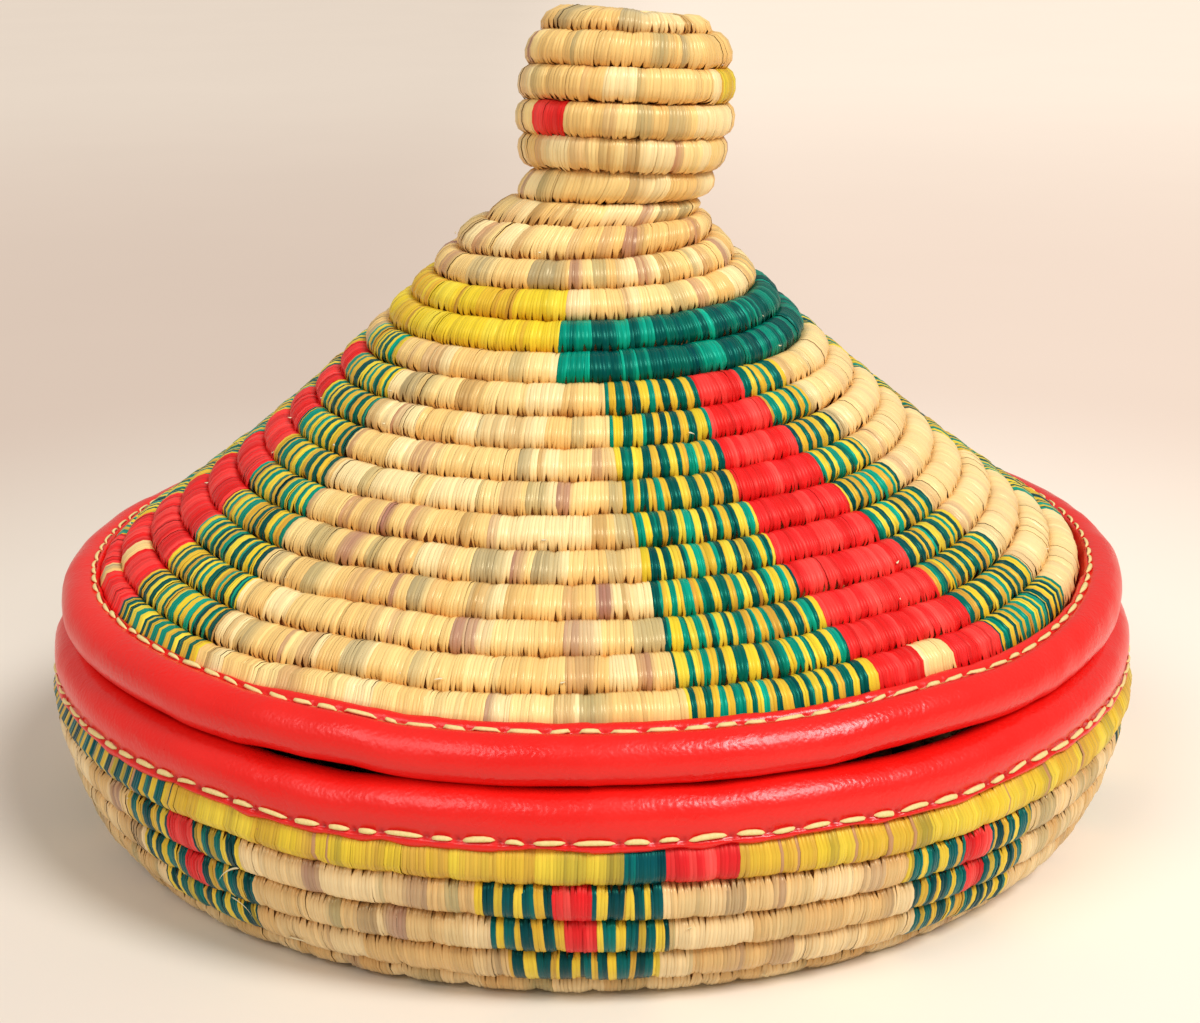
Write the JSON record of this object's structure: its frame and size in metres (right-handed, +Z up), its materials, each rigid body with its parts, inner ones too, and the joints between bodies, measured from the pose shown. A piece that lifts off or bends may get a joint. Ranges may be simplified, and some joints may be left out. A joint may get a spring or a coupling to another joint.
{
  "type": "lidded bread basket",
  "caption": "Round coiled bread basket: a shallow bellied tray and a lift-off conical lid with a leaning knob, both rims bound in padded red leather.",
  "frame": {"origin": "middle of the tray's flat underside, on the surface it stands on", "axes": "+Z up through the lid's rim and the tray's middle, -Y towards the pictured front, +X the way the knob leans most"},
  "size_m": [0.3592, 0.3593, 0.2604],
  "materials": {
    "coiled_straw": "split palm and straw wrapped over a grass coil, natural with dyed red, teal and yellow splints, satin",
    "grass_bundle": "dry grass bundle, matt",
    "red_leather": "dyed and polished leather, satin",
    "cream_thread": "waxed cotton thread, satin"
  },
  "bodies": {
    "tray": {"tray_floor_coil": "coiled_straw", "tray_wall_coil": "coiled_straw", "tray_rim_core": "grass_bundle", "tray_rim_leather": "red_leather", "tray_rim_outer_stitching": "cream_thread", "tray_rim_inner_stitching": "cream_thread"},
    "lid": {"lid_knob_coil": "coiled_straw", "lid_cone_coil": "coiled_straw", "lid_rim_core": "grass_bundle", "lid_rim_leather": "red_leather", "lid_rim_outer_stitching": "cream_thread", "lid_rim_inner_stitching": "cream_thread"}
  },
  "joints": [
    {"name": "lid_lift", "type": "slide", "parent": "tray", "child": "lid", "axis": [0, 0, 1], "range_m": [0, 0.3]}
  ]
}
